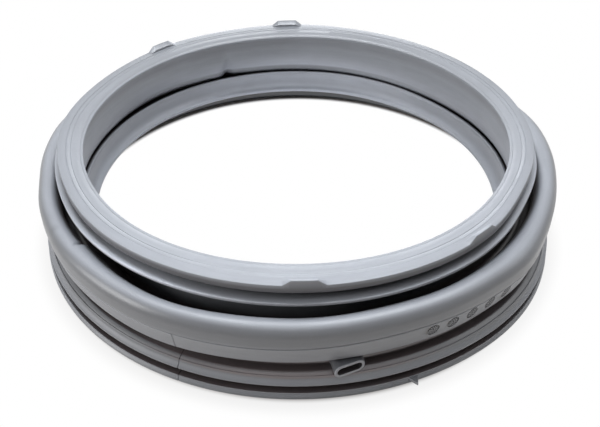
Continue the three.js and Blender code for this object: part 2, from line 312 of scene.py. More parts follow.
# Closer stations: degrees to each side of a block's bend, and from one degree to another, by
# their number, across the fold in the roll and the wrinkle
BEND_HALF = 0.08
DENT_STEPS = (-1.6, 2.0, 13)
WRINKLE_STEPS = (-4.0, 4.0, 17)

# Longest stretch of the section without a point, and largest step on its roundings
LONGEST_STEP = 3.4
ARC_STEP = math.radians(24.0)

# The largest share of a side that a rounding may take, and where shading turns sharp
ROUNDING_SHARE = 0.46
SHARP_ANGLE = math.radians(40.0)


# Section of the ring. A corner is its radius, its height and its rounding.

def arc(centre, radius, start, end, steps):
    """Points on an arc, with angles in degrees from +radius towards +height, as plain corners."""
    angles = np.radians(np.linspace(start, end, steps + 1))
    return [(centre[0] + radius * math.cos(a), centre[1] + radius * math.sin(a), 0.0) for a in angles]


def bowed(start, control, end, steps):
    """Points on a quadratic curve, as plain corners."""
    corners = []
    for t in np.linspace(0.0, 1.0, steps + 1):
        weights = ((1 - t) ** 2, 2 * t * (1 - t), t ** 2)
        radius, height = (sum(w * p[i] for w, p in zip(weights, (start, control, end))) for i in (0, 1))
        corners.append((radius, height, 0.0))
    return corners


def notch(radius, height, depth):
    """A fine groove in an upright face, drawn from the top down."""
    return [
        (radius, height + FINE_GROOVE / 2, 0.0),
        (radius - depth, height, 0.0),
        (radius, height - FINE_GROOVE / 2, 0.0),
    ]


def lip_line(radius, half_width, before, depth, after):
    """A fine line in the lip's face, by how far below the face it starts, reaches and ends."""
    return [
        (radius - half_width, FACE - before, 0.0),
        (radius, FACE - depth, 0.0),
        (radius + half_width, FACE - after, 0.0),
    ]


def lip_corners():
    """Front face of the lip from its inner edge outwards, with closer points where the blocks rise."""
    steps = (-0.35, -BLOCK_STEP_HALF, BLOCK_STEP_HALF, 0.4)
    block_foot = [(BLOCK_INNER + step, FACE, 0.0) for step in steps]
    return [
        (LIP_INNER, FACE - 3.6, 0.5),
        (LIP_INNER, FACE - 2.0, 0.7),
        *lip_line(LIP_INNER_LINE, 0.3, 1.6, 1.75, 1.5),
        *lip_line(LIP_SLOPE_FOOT, 0.35, 0.6, 0.85, 0.5),
        *lip_line(LIP_BAND_RADIUS, 0.3, 0.15, 0.35, 0.0),
        *block_foot,
        (LIP_OUTER, FACE, 0.55),
        (LIP_OUTER, LIP_BOTTOM, 0.7),
    ]


def panel_groove_corners():
    """Groove for the front panel and the flange below it."""
    return [
        (GROOVE_ROOT, LIP_BOTTOM, 1.6),
        (GROOVE_ROOT, PANEL_FLANGE_TOP, 1.8),
        (FLANGE_RADIUS, PANEL_FLANGE_TOP, 0.45),
        *notch(FLANGE_RADIUS, PANEL_FLANGE_TOP - 1.1, 0.35),
        (FLANGE_RADIUS, PANEL_FLANGE_BOTTOM, 0.45),
        (GROOVE_ROOT + 2.2, PANEL_FLANGE_BOTTOM - 0.3, 1.2),
    ]


def bellows_gap_corners():
    """Outside of the neck and the inner wall, down to the fold and up to the roll."""
    fold_start = (FOLD_CENTRE[0] - FOLD_RADIUS, FOLD_CENTRE[1])
    neck_outside = (NECK[0] + WALL + 0.7, PANEL_FLANGE_BOTTOM - 3.0)
    return [
        *bowed(neck_outside, (WALL_BOW[0] + WALL, WALL_BOW[1]), fold_start, 7),
        *arc(FOLD_CENTRE, FOLD_RADIUS, 190, 360, 10),
    ]


def roll_corners():
    """Roll, the crease of the parting line and the leaning band below it."""
    crease_face = OUTER - 0.25
    return [
        *arc(ROLL_CENTRE, ROLL_SECTION, 180, 0, 26),
        (OUTER, CREASE + 1.0, 0.25),
        (OUTER - 1.1, CREASE + 0.5, 0.0),
        (crease_face - 0.8, CREASE + 0.15, 0.0),
        (crease_face, CREASE - 0.45, 0.15),
        (crease_face - 0.45, CREASE - 1.1, 0.3),
        (OUTER - BAND_LEAN, RECESS_TOP, 1.7),
    ]


def recess_corners():
    """Recess that the spout stands in, the shoulder and the ridge."""
    return [
        (RECESS_ROOT, RECESS_TOP, 1.8),
        (RECESS_ROOT, RIDGE_TOP + 0.2, 1.8),
        (SHOULDER_RADIUS - 3.8, RIDGE_TOP + 0.25, 3.0),
        (SHOULDER_RADIUS - 1.3, SHOULDER_HEIGHT + 0.5, 0.0),
        (SHOULDER_RADIUS - 1.0, SHOULDER_HEIGHT + 0.2, 0.0),
        (SHOULDER_RADIUS - 0.5, SHOULDER_HEIGHT + 0.4, 0.25),
        (SHOULDER_RADIUS, SHOULDER_HEIGHT, 0.25),
        (SHOULDER_RADIUS - 0.05, SHOULDER_HEIGHT - 0.6, 0.0),
        *bowed(
            (SHOULDER_RADIUS + 0.05, SHOULDER_HEIGHT - 0.9),
            (SHOULDER_RADIUS + 0.6, RIDGE_BOTTOM + 2.4),
            (RIDGE_RADIUS, RIDGE_BOTTOM + 1.0),
            7,
        ),
        (RIDGE_RADIUS + 0.1, RIDGE_BOTTOM, 0.35),
    ]


def tub_end_corners():
    """Clamp groove, tub flange and the chamfered start of the bore."""
    grooves = []
    for inset, height, depth in TUB_GROOVES:
        grooves += notch(OUTER - inset, height, depth)
    return [
        (CLAMP_ROOT, RIDGE_BOTTOM, 0.7),
        (CLAMP_ROOT, FLANGE_TOP, 0.7),
        (OUTER - TUB_GROOVES[0][0], FLANGE_TOP, 0.8),
        *grooves,
        (OUTER, 0.0, 0.35),
        (TUB_BORE + BORE_CHAMFER, 0.0, 0.6),
        (TUB_BORE, BORE_CHAMFER, 1.5),
    ]


def skirt_corners():
    """Inner skirt, from the bore round its lower edge to its top and the hollow's floor."""
    foot = SKIRT_TOP_RADIUS + 3.6
    edge = (SKIRT_EDGE_RADIUS, SKIRT_EDGE)
    return [
        (TUB_BORE, RECESS_TOP, 1.8),
        (foot, RECESS_TOP, 1.6),
        *bowed(
            (SKIRT_TOP_RADIUS + 1.4, RECESS_TOP - 3.0),
            (SKIRT_TOP_RADIUS - 1.0, edge[1] - 0.4),
            (edge[0] + 3.4, edge[1] - 0.9),
            6,
        ),
        (edge[0] + 1.0, edge[1] - 1.4, 0.8),
        (edge[0], edge[1] - 0.3, 0.4),
        (edge[0] + 0.3, edge[1] + 0.1, 0.0),
        (edge[0], edge[1] + 0.4, 0.0),
        (edge[0], edge[1] + 1.5, 0.6),
        *bowed(
            (edge[0] + 1.3, edge[1] + 2.3),
            (SKIRT_TOP_RADIUS - 1.0, edge[1] + 2.6),
            (SKIRT_TOP_RADIUS - 0.35, HOLLOW_FLOOR + 2.6),
            10,
        ),
        (SKIRT_TOP_RADIUS - 0.45, HOLLOW_FLOOR + 3.3, 0.0),
        (SKIRT_TOP_RADIUS - 0.05, SKIRT_TOP - 1.6, 0.0),
        (SKIRT_TOP_RADIUS, SKIRT_TOP, 0.9),
        (SKIRT_TOP_RADIUS + 2.4, SKIRT_TOP, 1.0),
        (SKIRT_TOP_RADIUS + 2.4, HOLLOW_FLOOR, 1.2),
    ]


def hollow_corners():
    """Hollow inside the band, the roll and the fold."""
    band_inside = OUTER - BAND_LEAN - WALL
    return [
        (band_inside, HOLLOW_FLOOR, 2.0),
        (OUTER - WALL, CREASE + 0.5, 3.0),
        *arc(ROLL_CENTRE, ROLL_SECTION - WALL, 0, 180, 9),
        *arc(FOLD_CENTRE, FOLD_RADIUS + WALL, 355, 185, 12),
    ]


def inner_wall_corners():
    """Inner face of the wall, from the fold up to the lip."""
    fold_end = (FOLD_CENTRE[0] - FOLD_RADIUS - WALL, FOLD_CENTRE[1])
    return [
        *bowed(fold_end, WALL_BOW, (NECK[0] + 0.7, PANEL_FLANGE_BOTTOM - 3.0), 8),
        (NECK[0], NECK[1], 3.0),
        (NECK[0], LIP_BOTTOM - 1.0, 3.0),
        (LIP_INNER + 2.6, LIP_BOTTOM + 1.6, 1.5),
    ]


def rounded(corners):
    """Replaces each corner that has a rounding by an arc, and returns the closed outline's points."""
    points = []
    places = [np.array(corner[:2]) for corner in corners]
    for i, (place, corner) in enumerate(zip(places, corners)):
        before = places[i - 1] - place
        after = places[(i + 1) % len(places)] - place
        reach = min(np.linalg.norm(before), np.linalg.norm(after))
        if corner[2] == 0.0:
            points.append(place)
            continue
        before /= np.linalg.norm(before)
        after /= np.linalg.norm(after)
        half = math.acos(np.clip(before @ after, -1.0, 1.0)) / 2
        run = min(corner[2] / math.tan(half), reach * ROUNDING_SHARE)
        radius = run * math.tan(half)
        middle = (before + after) / np.linalg.norm(before + after)
        centre = place + middle * radius / math.sin(half)
        first = place + before * run - centre
        last = place + after * run - centre
        sweep = math.pi - 2 * half
        steps = max(2, math.ceil(sweep / ARC_STEP))
        for k in range(steps + 1):
            t = k / steps
            turned = (first * math.sin((1 - t) * sweep) + last * math.sin(t * sweep)) / math.sin(sweep)
            points.append(centre + turned)
    return points


def refined(points):
    """Splits long stretches, so that soft bends along the ring have points to move."""
    dense = []
    for i, point in enumerate(points):
        following = points[(i + 1) % len(points)]
        count = max(1, math.ceil(np.linalg.norm(following - point) / LONGEST_STEP))
        dense += [point + (following - point) * k / count for k in range(count)]
    return np.array(dense)


def section():
    corners = (lip_corners() + panel_groove_corners() + bellows_gap_corners() + roll_corners()
               + recess_corners() + tub_end_corners() + skirt_corners() + hollow_corners()
               + inner_wall_corners())
    return refined(rounded(corners))


# Shape along the ring

def smoothstep(low, high, value):
    """0 at low and 1 at high, smooth between them, where low may be the larger one."""
    t = np.clip((value - low) / (high - low), 0.0, 1.0)
    return t * t * (3 - 2 * t)


def turned_from(azimuths, centre):
    """Signed degrees from an azimuth, within half a turn."""
    return (azimuths - centre + 180.0) % 360.0 - 180.0


def stations():
    """Azimuths of the ring's stations: even ones, and closer ones where something starts or ends."""
    extra = []
    base = math.degrees(BLOCK_BASE / 2 / LIP_OUTER)
    top = math.degrees(BLOCK_TOP / 2 / LIP_OUTER)
    for centre in BLOCK_AZIMUTHS:
        for side in (-1, 1):
            for bend in (base, top):
                extra += [centre + side * (bend + BEND_HALF), centre + side * (bend - BEND_HALF)]
    seam = math.degrees(SEAM_WIDTH / 2 / OUTER)
    for centre in SEAM_AZIMUTHS:
        extra += [centre + seam * share for share in (-1.4, -1.0, 0.0, 1.0, 1.4)]
    extra += [DENT_AZIMUTH + step for step in np.linspace(*DENT_STEPS)]
    extra += [WRINKLE_AZIMUTH + step for step in np.linspace(*WRINKLE_STEPS)]
    extra = np.array(extra) % 360.0
    even = np.arange(STATIONS) * 360.0 / STATIONS
    gap = 360.0 / STATIONS * STATION_GAP
    clear = [a for a in even if np.min(np.abs(turned_from(extra, a))) > gap]
    return np.sort(np.concatenate([extra, clear]))


def bumps(azimuths, listed):
    """Sum of soft bumps along the ring: (azimuth, half width in degrees, amount in mm)."""
    total = np.zeros_like(azimuths)
    for centre, width, amount in listed:
        total += amount * np.exp(-(turned_from(azimuths, centre) / width) ** 2)
    return total


# How the soft ring departs from round where it lies: azimuth, half width in degrees and mm outwards
LIP_EDGE_BULGES = ((92, 16, 2.7), (127, 16, 1.9), (175, 12, 1.6), (205, 12, -1.0), (332, 12, -2.5))
LIP_INNER_BULGES = ((270, 38, -3.0), (0, 26, 1.8), (180, 26, 1.2), (105, 24, -1.4))
ROLL_OUTER_BULGES = (
    (169, 7, 1.5), (192, 9, -2.4), (207, 7, -1.2), (243, 13, 1.3), (287, 14, -1.6),
    (321, 8, 2.4), (0, 9, 1.8), (12, 9, 3.4), (38, 12, -2.0),
)
ROLL_INNER_BULGES = ((192, 9, -1.6), (222, 6, -0.8), (245, 11, 2.6), (288, 10, -1.8), (315, 20, -1.2))
TUB_END_BULGES = ((325, 24, 3.6), (5, 12, 2.4))
CREASE_RISES = ((292, 16, 1.6),)  # mm upwards
FOLD_BULGES = ((140, 16, 2.8), (112, 5, 1.6), (45, 24, -3.2))
SKIRT_TOP_BULGES = ((140, 20, 0.3), (40, 20, -3.1))
SKIRT_EDGE_BULGES = ((52, 15, -1.0),)

# A radius between the neck and the roll, and heights above the roll and the hollow's floor
GAP_RADIUS = 178.0
ROLL_CLEAR = 62.0
FLOOR_CLEAR = 33.0

# Heights or radii where the shift of one part of the section gives way to the next part's
LIP_HEIGHTS = (42.0, 58.0)
TUB_HEIGHTS = (18.0, 29.0)
SKIRT_RADII = (165.5, 174.0)
ROLL_RADII = (179.0, 195.0)
FOLD_RADII = (177.0, 170.0)
FOLD_HEIGHTS = (ROLL_CLEAR, 44.0)

# The same for the fold pressed into the roll, the wrinkle and the lift at its foot, and the
# heights and radii that these keep within
DENT_LOW, DENT_HIGH = 44.0, 61.0
DENT_OUTER_RADII = (190.0, 181.0)
DENT_INNER_RADII = (176.5, 178.5)
WRINKLE_RADIUS = 170.0
WRINKLE_FOOT = (35.0, 37.0)
WRINKLE_HEAD = (68.0, 46.0)
LIFT_RADIUS = 173.0
LIFT_HEIGHTS = (46.0, 38.0)


def on_skirt(radius, height):
    """Which points are on the skirt."""
    return (radius < SKIRT_TOP_RADIUS + 2.6) & (height < SKIRT_TOP + 0.1)


def ring_shifts(azimuths, points):
    """Outward shift of every station and section point, in mm."""
    radius, height = points[:, 0], points[:, 1]
    at_lip = (radius < GAP_RADIUS) | (height > ROLL_CLEAR)
    lip = np.where(at_lip, smoothstep(*LIP_HEIGHTS, height), 0.0)
    across_lip = np.clip((radius - LIP_INNER) / (LIP_OUTER - LIP_INNER), 0.0, 1.0)
    tub = np.where(radius > TUB_BORE - 1.0, 1.0 - smoothstep(*TUB_HEIGHTS, height), 0.0)
    at_skirt = (height < FLOOR_CLEAR) | on_skirt(radius, height)
    skirt = np.where(at_skirt, 1.0 - smoothstep(*SKIRT_RADII, radius), 0.0)
    up_skirt = smoothstep(SKIRT_EDGE, SKIRT_TOP, height)
    across_roll = np.clip((radius - ROLL_RADII[0]) / (ROLL_RADII[1] - ROLL_RADII[0]), 0.0, 1.0)
    at_fold = (radius < GAP_RADIUS) & ~at_skirt
    fold = smoothstep(*FOLD_RADII, radius) * smoothstep(*FOLD_HEIGHTS, height)
    fold = np.where(at_fold, fold, 0.0)
    roll = (1.0 - lip) * (1.0 - tub) * (1.0 - skirt)

    def spread(listed, weights):
        return bumps(azimuths, listed)[:, None] * weights[None, :]

    return (spread(LIP_EDGE_BULGES, lip * across_lip)
            + spread(LIP_INNER_BULGES, lip * (1.0 - across_lip))
            + spread(TUB_END_BULGES, tub)
            + spread(FOLD_BULGES, fold)
            + spread(SKIRT_TOP_BULGES, skirt * up_skirt)
            + spread(SKIRT_EDGE_BULGES, skirt * (1.0 - up_skirt))
            + spread(ROLL_OUTER_BULGES, roll * across_roll)
            + spread(ROLL_INNER_BULGES, roll * (1.0 - across_roll)))


def local_shifts(azimuths, points):
    """Outward and upward shifts of the fold in the roll and the wrinkle in the inner wall, in mm."""
    radius, height = points[:, 0], points[:, 1]
    turn = turned_from(azimuths, DENT_AZIMUTH)
    bulge = smoothstep(*DENT_BULGE_START, turn) * np.exp(-np.clip(turn, 0.0, None) / DENT_BULGE_RUN)
    groove = np.exp(-((turn - DENT_GROOVE_PLACE) / DENT_GROOVE_HALF) ** 2)
    on_roll = (height > DENT_LOW) & (height < DENT_HIGH)
    inner_side = smoothstep(*DENT_OUTER_RADII, radius) * smoothstep(*DENT_INNER_RADII, radius)
    inner_roll = np.where(on_roll, inner_side, 0.0)
    grooves = DENT_GROOVE * groove[:, None] * inner_roll[None, :]
    out = grooves - DENT_BULGE * bulge[:, None] * inner_roll[None, :]
    up = -grooves

    turn = turned_from(azimuths, WRINKLE_AZIMUTH)
    past, half, share = WRINKLE_RIDGE
    valley = np.exp(-(turn / WRINKLE_HALF) ** 2) - share * np.exp(-((turn - past) / half) ** 2)
    clear = ~on_skirt(radius, height)
    at_wall = (radius < WRINKLE_RADIUS) & clear
    up_wall = smoothstep(*WRINKLE_FOOT, height) * smoothstep(*WRINKLE_HEAD, height)
    wall = np.where(at_wall, up_wall, 0.0)
    out += WRINKLE_DEPTH * valley[:, None] * wall[None, :]
    at_bottom = (radius < LIFT_RADIUS) & (height > FLOOR_CLEAR) & clear
    fold_bottom = np.where(at_bottom, smoothstep(*LIFT_HEIGHTS, height), 0.0)
    up += WRINKLE_LIFT * np.exp(-(turn / WRINKLE_LIFT_HALF) ** 2)[:, None] * fold_bottom[None, :]
    return out, up


def crease_lift(azimuths, points):
    """Upward shift of the parting line where the band is wider, in mm."""
    radius, height = points[:, 0], points[:, 1]
    below = smoothstep(RECESS_TOP, CREASE - 0.5, height)
    above = smoothstep(ROLL_CENTRE[1] + 4.0, CREASE + 1.2, height)
    weights = np.where(radius > OUTER - BAND_LEAN - 1.0, below * above, 0.0)
    return bumps(azimuths, CREASE_RISES)[:, None] * weights[None, :]


def block_rise(azimuths, points):
    """Height that the blocks add on the lip's outer band, in mm."""
    radius, height = points[:, 0], points[:, 1]
    on_top = height > FACE - 1.0
    step = BLOCK_INNER_HEIGHT / BLOCK_HEIGHT
    inner = BLOCK_INNER + BLOCK_STEP_HALF
    up_inner = np.clip((radius - inner) / (BLOCK_STEP_HALF * 2) + 1.0, 0.0, 1.0) * step
    up_top = np.clip((radius - inner) / (LIP_OUTER - 0.6 - BLOCK_INNER), 0.0, 1.0) * (1.0 - step)
    across = np.where(on_top, up_inner + up_top, 0.0)
    rise = np.zeros((len(azimuths), len(points)))
    for centre in BLOCK_AZIMUTHS:
        along = np.abs(np.radians(turned_from(azimuths, centre))) * LIP_OUTER
        slope = np.clip((BLOCK_BASE / 2 - along) / ((BLOCK_BASE - BLOCK_TOP) / 2), 0.0, 1.0)
        rise += BLOCK_HEIGHT * slope[:, None] * across[None, :]
    return rise


def outward_normals(points):
    """Unit normals of the closed outline, pointing out of the rubber."""
    tangent = np.roll(points, -1, axis=0) - np.roll(points, 1, axis=0)
    tangent /= np.linalg.norm(tangent, axis=1)[:, None]
    return np.stack([-tangent[:, 1], tangent[:, 0]], axis=1)


def openness(points):
    """Share of the free side that each section point sees within reach, from 0 in a fold to 1."""
    normals = outward_normals(points)
    starts = points + normals * OPEN_LIFT
    ends = np.roll(points, -1, axis=0) - points
    angles = np.radians(np.linspace(-OPEN_HALF_ANGLE, OPEN_HALF_ANGLE, OPEN_RAYS))
    seen = np.zeros(len(points))
    for angle in angles:
        turn = np.array([[math.cos(angle), -math.sin(angle)], [math.sin(angle), math.cos(angle)]])
        rays = normals @ turn.T
        across = rays[:, None, 0] * ends[None, :, 1] - rays[:, None, 1] * ends[None, :, 0]
        across = np.where(np.abs(across) < 1e-9, 1e-9, across)
        offset = points[None, :, :] - starts[:, None, :]
        along = (offset[:, :, 0] * ends[None, :, 1] - offset[:, :, 1] * ends[None, :, 0]) / across
        share = (offset[:, :, 0] * rays[:, None, 1] - offset[:, :, 1] * rays[:, None, 0]) / across
        hit = (along > 0.0) & (along < OPEN_REACH) & (share >= 0.0) & (share <= 1.0)
        seen += math.cos(angle) * ~hit.any(axis=1)
    return seen / np.cos(angles).sum()


def tone(points):
    """Share of the rubber's colour at each section point: painted shade by how open the point is, then the
    listed stretches' own tones, most of them painted light or shade.
    """
    places, levels = zip(*FOLD_SHADE_LEVELS)
    tones = np.interp(openness(points), places, levels)
    for radius, height, across, up, level in TONE_SPOTS:
        off = ((points[:, 0] - radius) / across) ** 4 + ((points[:, 1] - height) / up) ** 4
        tones += (level - tones) * np.exp(-off)
    return tones


def set_share(mesh, name, values):
    """A value for each point of a mesh, which the material reads by its name."""
    attribute = mesh.attributes.new(name, "FLOAT", "POINT")
    attribute.data.foreach_set("value", np.asarray(values, dtype=np.float32))


def seam_depths(azimuths, points):
    """How deep the mould seams cut in, on the outside below the crease."""
    outside = (points[:, 0] > RECESS_ROOT - 0.5) & (points[:, 1] < CREASE + 0.2)
    inside_roll = (points[:, 1] > HOLLOW_FLOOR - 1.0) & (points[:, 0] < OUTER - BAND_LEAN - 1.5)
    weights = np.where(outside & ~inside_roll, 1.0, 0.0)
    half = math.degrees(SEAM_WIDTH / 2 / OUTER)
    along = np.zeros(len(azimuths))
    for centre in SEAM_AZIMUTHS:
        along += np.clip(1.0 - np.abs(turned_from(azimuths, centre)) / half, 0.0, 1.0)
    return SEAM_DEPTH * along[:, None] * weights[None, :]


def ring_tones(azimuths, points):
    """Tone of every point of the ring: the section's tone, with painted light leaning to the lip's front,
    rising inside at the back and on the panel flange.
    """
    radius, height = points[:, 0], points[:, 1]
    turn = np.radians(azimuths)[:, None]
    on_lip = smoothstep(FACE - 3.0, FACE - 1.8, height)
    inside = np.where(radius < SKIRT_TOP_RADIUS + 2.0, smoothstep(ROLL_CLEAR, 36.0, height), 0.0)
    over_flange = smoothstep(PANEL_FLANGE_BOTTOM - 0.8, PANEL_FLANGE_BOTTOM + 0.2, height)
    over_flange *= smoothstep(PANEL_FLANGE_TOP + 1.0, PANEL_FLANGE_TOP + 0.3, height)
    at_flange = (radius > GROOVE_ROOT + 1.0) & (radius < FLANGE_RADIUS + 1.0)
    flange = np.where(at_flange, over_flange, 0.0)
    # Painted light: the lip lighter at its front and darker at its back, the inside lighter at the back,
    # and the panel flange lighter where listed
    lean = 1.0 - LIP_PAINTED_LIGHT_LEAN * np.sin(turn) * on_lip[None, :]
    rise = 1.0 + BACK_PAINTED_LIGHT_RISE * np.clip(np.sin(turn), 0.0, 1.0) ** 4 * inside[None, :]
    rise += bumps(azimuths, FLANGE_PAINTED_LIGHT)[:, None] * flange[None, :]
    return (tone(points)[None, :] * lean * rise).ravel()


def ring_warm_bounce(azimuths, points):
    """Share of the low outside's painted warm bounce light at every point of the ring, all of it at the
    front.
    """
    below = smoothstep(RECESS_TOP + 1.0, RECESS_TOP - 1.0, points[:, 1])
    low = np.where(points[:, 0] > RECESS_ROOT - 1.0, below, 0.0)
    front = np.clip(-np.sin(np.radians(azimuths)), 0.0, 1.0) ** 3
    return (front[:, None] * low[None, :]).ravel()


def ring_mesh():
    points = section()
    azimuths = stations()
    normals = outward_normals(points)
    depths = seam_depths(azimuths, points)
    out, up = local_shifts(azimuths, points)
    out += ring_shifts(azimuths, points)
    up += block_rise(azimuths, points) + crease_lift(azimuths, points)
    radius = points[None, :, 0] + out - depths * normals[None, :, 0]
    height = points[None, :, 1] + up - depths * normals[None, :, 1]
    turn = np.radians(azimuths)[:, None]
    places = np.stack([radius * np.cos(turn), radius * np.sin(turn), height], axis=2)
    count, size = len(azimuths), len(points)
    row = np.arange(count)[:, None] * size
    next_row = (np.arange(count)[:, None] + 1) % count * size
    column = np.arange(size)[None, :]
    next_column = (column + 1) % size
    quads = np.stack([row + column, row + next_column, next_row + next_column, next_row + column], axis=2)
    mesh = bpy.data.meshes.new("seal_ring")
    mesh.from_pydata((places.reshape(-1, 3) * MM).tolist(), [], quads.reshape(-1, 4).tolist())
    mesh.update()
    set_share(mesh, "tone", ring_tones(azimuths, points))
    set_share(mesh, "warm_bounce", ring_warm_bounce(azimuths, points))
    return mesh


# Details round the ring, drawn with x outwards, y along the ring and z up

def detail_frame(azimuth, radius, height, lean=0.0):
    """Frame on the bent ring, with its x axis leaned down by an angle."""
    shift = ring_shifts(np.array([azimuth]), np.array([[radius, height]]))[0, 0]
    turn = Matrix.Rotation(math.radians(azimuth), 4, "Z")
    place = Matrix.Translation((radius + shift, 0.0, height))
    return turn @ place @ Matrix.Rotation(lean, 4, "Y")


def band_frame(azimuth):
    """Frame on the leaning band at a dial's centre."""
    lean = BAND_LEAN - BAND_SET_BACK
    fall = (CREASE - DIAL_HEIGHT) / (CREASE - RECESS_TOP)
    radius = OUTER - BAND_SET_BACK - lean * fall
    frame = detail_frame(azimuth, radius, DIAL_HEIGHT, math.atan2(lean, CREASE - RECESS_TOP))
    return frame @ Matrix.Diagonal((1.0, 1.0, DIAL_STRETCH, 1.0))


def loft(loops, looped=False):
    """Corners and faces that join counter-clockwise loops, joined round or capped at both ends."""
    size = len(loops[0])
    faces = []
    for k in range(len(loops) if looped else len(loops) - 1):
        start = k * size
        following = (k + 1) % len(loops) * size
        for i in range(size):
            j = (i + 1) % size
            faces.append((start + i, start + j, following + j, following + i))
    if not looped:
        last = (len(loops) - 1) * size
        faces.append(tuple(range(size - 1, -1, -1)))
        faces.append(tuple(range(last, last + size)))
    return [corner for loop in loops for corner in loop], faces


def mesh_of(name, parts, level):
    """One mesh from parts of (corners, faces, frame) in mm, with one tone or a tone for each corner."""
    places = []
    faces = []
    for corners, part_faces, frame in parts:
        base = len(places)
        places += [tuple(frame @ Vector(corner) * MM) for corner in corners]
        faces += [tuple(base + i for i in face) for face in part_faces]
    mesh = bpy.data.meshes.new(name)
    mesh.from_pydata(places, [], faces)
    mesh.update()
    set_share(mesh, "tone", np.broadcast_to(level, len(places)))
    return mesh


def disc_loop(x, radius, count, centre=(0.0, 0.0)):
    """A round loop across the x axis."""
    angles = np.radians(np.arange(count) * 360.0 / count)
    return [(x, centre[0] + radius * math.cos(a), centre[1] + radius * math.sin(a)) for a in angles]


def stadium_loop(width, thickness, place):
    """A flattened round loop, whose x comes from its y."""
    half = thickness / 2
    reach = width / 2 - half
    corners = []
    for side, start in ((1, -90.0), (-1, 90.0)):
        for angle in np.radians(start + np.arange(SPOUT_SIDES + 1) * 180.0 / SPOUT_SIDES):
            y = side * reach + half * math.cos(angle)
            corners.append((place(y), y, half * math.sin(angle)))
    return corners


def spout_loop(run, inset, forward=0.0):
    """Loop at a share of the way from the recess's root to the slanted mouth."""
    width = SPOUT_ROOT_WIDTH + (SPOUT_MOUTH_WIDTH - SPOUT_ROOT_WIDTH) * min(run, 1.0)
    root = RECESS_ROOT - 1.0

    def place(y):
        mouth = SPOUT_MOUTH - y * math.tan(SPOUT_SLANT)
        return root + (mouth - root) * run + forward

    return stadium_loop(width - inset * 2, SPOUT_THICKNESS - inset * 2, place)


def spout_frame():
    """Frame on the ring's axis, turned to the spout and level with it."""
    turn = Matrix.Rotation(math.radians(SPOUT_AZIMUTH), 4, "Z")
    return turn @ Matrix.Translation((0.0, 0.0, SPOUT_HEIGHT))


def spout_mesh():
    """Tube with a thin collar at its root and a rounded rim."""
    rim = SPOUT_RIM
    round_off = rim * 0.3
    collar = ((0.0, SPOUT_COLLAR), (0.28, SPOUT_COLLAR), (0.33, 0.05))
    outside = [spout_loop(run, -raised) for run, raised in collar]
    outside += [spout_loop(run, 0.0) for run in (0.36, 0.5, 0.75, 0.93)]
    edge = [
        spout_loop(1.0, 0.0, -rim),
        spout_loop(1.0, round_off, -round_off),
        spout_loop(1.0, rim),
        spout_loop(1.0, SPOUT_WALL - rim),
        spout_loop(1.0, SPOUT_WALL - round_off, -round_off),
    ]
    inside = [spout_loop(1.0, SPOUT_WALL, -rim)] + [spout_loop(run, SPOUT_WALL) for run in (0.9, 0.5, 0.0)]
    # Painted highlight on the mouth's rim and painted shade inside the tube
    tones = []
    for loops, level in zip((outside, edge, inside), SPOUT_TONES):
        tones += [level] * len(loops) * len(outside[0])
    tube = loft(outside + edge + inside, looped=True)
    return mesh_of("seal_spout", [(*tube, spout_frame())], tones)


def pointer_loop(height, inset):
    """Outline of the pointer, from inside the flange to its blunt tip."""
    half = POINTER_WIDTH / 2 - inset
    tip = OUTER + POINTER_REACH - inset * 1.6
    side = ((OUTER - 2.0, half), (OUTER - 0.4, half), (tip, 0.25))
    return [(x, -y, height) for x, y in side] + [(x, y, height) for x, y in reversed(side)]


def pointer_mesh():
    edge = POINTER_EDGE
    loops = [
        pointer_loop(POINTER_BOTTOM, edge),
        pointer_loop(POINTER_BOTTOM + edge, 0.0),
        pointer_loop(POINTER_TOP - edge, 0.0),
        pointer_loop(POINTER_TOP, edge),
    ]
    frame = detail_frame(POINTER_AZIMUTH, OUTER, 0.0) @ Matrix.Translation((-OUTER, 0.0, 0.0))
    return mesh_of("seal_pointer", [(*loft(loops), frame)], POINTER_TONE)


def ring_cutter(radius, width, frame):
    """Short pipe that cuts a round line."""
    outer = [disc_loop(x, radius, DIAL_SIDES) for x in (-MARK_DEPTH, MARK_CLEARANCE)]
    inner = [disc_loop(x, radius - width, DIAL_SIDES) for x in (MARK_CLEARANCE, -MARK_DEPTH)]
    return (*loft(outer + inner, looped=True), frame)


def dials_cutter():
    """Round lines, a ring of dots and an arrow for each dial."""
    parts = []
    stem, head = ARROW_HALF_STEM, ARROW_HALF_HEAD
    arrow = [
        (-stem, ARROW_BOTTOM), (stem, ARROW_BOTTOM), (stem, ARROW_NECK), (head, ARROW_NECK),
        (0.0, ARROW_TIP), (-head, ARROW_NECK), (-stem, ARROW_NECK),
    ]
    ends = (-MARK_DEPTH, MARK_CLEARANCE)
    for azimuth in DIAL_AZIMUTHS:
        frame = band_frame(azimuth)
        parts.append(ring_cutter(DIAL_RADIUS, DIAL_LINE, frame))
        parts.append(ring_cutter(DIAL_INNER_RADIUS, DIAL_LINE * 0.7, frame))
        for k in range(DIAL_DOTS):
            angle = math.radians(k * 360.0 / DIAL_DOTS)
            centre = (DIAL_DOT_PLACE * math.cos(angle), DIAL_DOT_PLACE * math.sin(angle))
            dot = [disc_loop(x, DIAL_DOT, DIAL_DOT_SIDES, centre) for x in ends]
            parts.append((*loft(dot), frame))
        parts.append((*loft([[(x, y, z) for y, z in arrow] for x in ends]), frame))
    # The marks are painted shade
    return mesh_of("dial_marks", parts, MARK_TONE)


